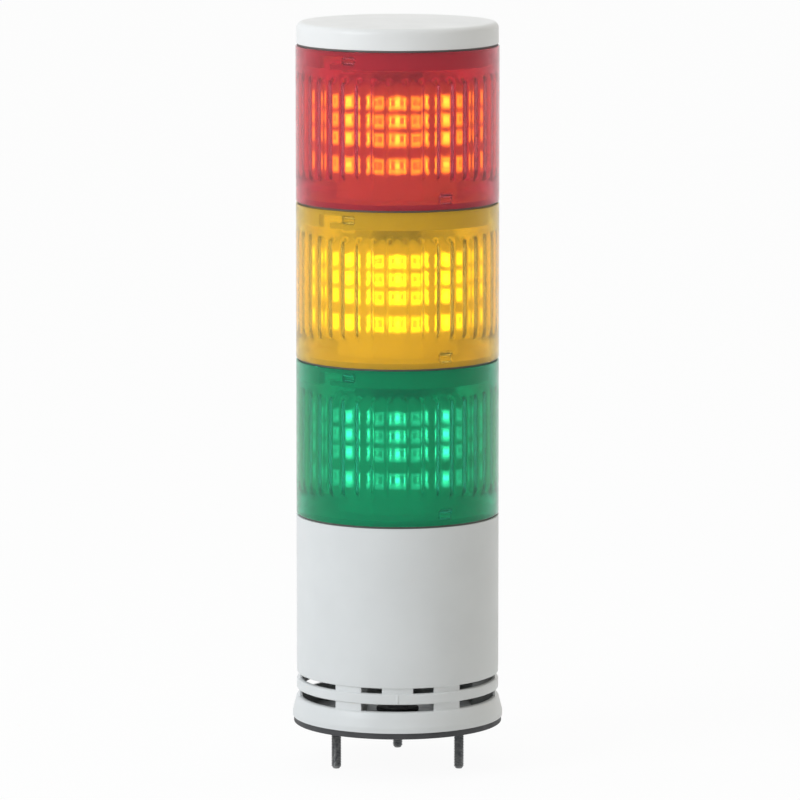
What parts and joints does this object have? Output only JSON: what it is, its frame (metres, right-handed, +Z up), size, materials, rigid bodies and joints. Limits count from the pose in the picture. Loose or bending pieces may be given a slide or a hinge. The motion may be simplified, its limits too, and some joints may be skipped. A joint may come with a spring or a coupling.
{
  "type": "stack light",
  "caption": "Cylindrical signal tower with green, amber and red lights over a white sounder base, held to a machine by studs.",
  "frame": {"origin": "centre of the mounting face, the underside of the base gasket", "axes": "+Z up the stack's axis, -Y the front between the two forward studs, +X right"},
  "size_m": [0.104, 0.104, 0.3687],
  "materials": {
    "housing_white": "smooth off-white moulded plastic",
    "grey_plastic": "fine satin grey moulded plastic",
    "rubber": "dull black rubber",
    "plate_steel": "zinc-plated sheet steel",
    "zinc_steel": "bright zinc-plated steel",
    "reflector_white": "glossy white reflector",
    "board_white": "white solder mask",
    "board_green": "green solder mask on glass fibre",
    "spring_brass": "gold-flashed brass",
    "terminal_green": "green moulded plastic",
    "capacitor_can": "dark sleeved aluminium can",
    "black_plastic": "black moulded plastic",
    "trimmer_blue": "blue moulded plastic",
    "rotor_white": "white moulded plastic",
    "ribbon_grey": "grey flat cable",
    "green_lens": "clear green polycarbonate",
    "amber_lens": "clear amber polycarbonate",
    "red_lens": "clear red polycarbonate",
    "green_lamp": "green lamp chip",
    "amber_lamp": "amber lamp chip",
    "red_lamp": "red lamp chip"
  },
  "bodies": {
    "base": {"base_gasket": "rubber", "base_plate": "plate_steel", "mounting_studs": "zinc_steel", "base_screws": "zinc_steel", "base_housing": "housing_white", "cable_grommet": "rubber", "control_board": "board_green", "board_screws": "zinc_steel", "terminal_block": "terminal_green", "terminal_screws": "zinc_steel", "capacitors": "capacitor_can", "switching_transistors": "black_plastic", "buzzer": "black_plastic", "volume_trimmer": "trimmer_blue", "feed_column": "grey_plastic", "feed_ribbon": "ribbon_grey", "feed_track_board": "board_green"},
    "volume_rotor": {"volume_rotor": "rotor_white"},
    "green_unit": {"green_lens": "green_lens", "green_unit_base": "grey_plastic", "green_seal": "rubber", "green_reflector": "reflector_white", "green_led_boards": "board_white", "green_led_chips": "green_lamp", "green_link_board": "board_green", "green_track_board": "board_green", "green_contact_springs": "spring_brass"},
    "amber_unit": {"amber_lens": "amber_lens", "amber_unit_base": "grey_plastic", "amber_seal": "rubber", "amber_reflector": "reflector_white", "amber_led_boards": "board_white", "amber_led_chips": "amber_lamp", "amber_link_board": "board_green", "amber_track_board": "board_green", "amber_contact_springs": "spring_brass"},
    "red_unit": {"red_lens": "red_lens", "red_unit_base": "grey_plastic", "red_seal": "rubber", "red_reflector": "reflector_white", "red_led_boards": "board_white", "red_led_chips": "red_lamp", "red_link_board": "board_green", "red_track_board": "board_green", "red_contact_springs": "spring_brass"},
    "head": {"head_cover": "housing_white", "head_seal": "rubber"}
  },
  "joints": [
    {"name": "volume_turn", "type": "hinge", "parent": "base", "child": "volume_rotor", "pos_m": [0, -0.028, 0.043], "axis": [0, 0, 1], "range_deg": [0, 270]},
    {"name": "green_unit_twist", "type": "hinge", "parent": "base", "child": "green_unit", "pos_m": [0, 0, 0.105], "axis": [0, 0, 1], "range_deg": [0, 18]},
    {"name": "amber_unit_twist", "type": "hinge", "parent": "green_unit", "child": "amber_unit", "pos_m": [0, 0, 0.1824], "axis": [0, 0, 1], "range_deg": [0, 18]},
    {"name": "red_unit_twist", "type": "hinge", "parent": "amber_unit", "child": "red_unit", "pos_m": [0, 0, 0.2598], "axis": [0, 0, 1], "range_deg": [0, 18]},
    {"name": "head_twist", "type": "hinge", "parent": "red_unit", "child": "head", "pos_m": [0, 0, 0.3372], "axis": [0, 0, 1], "range_deg": [0, 18]}
  ]
}
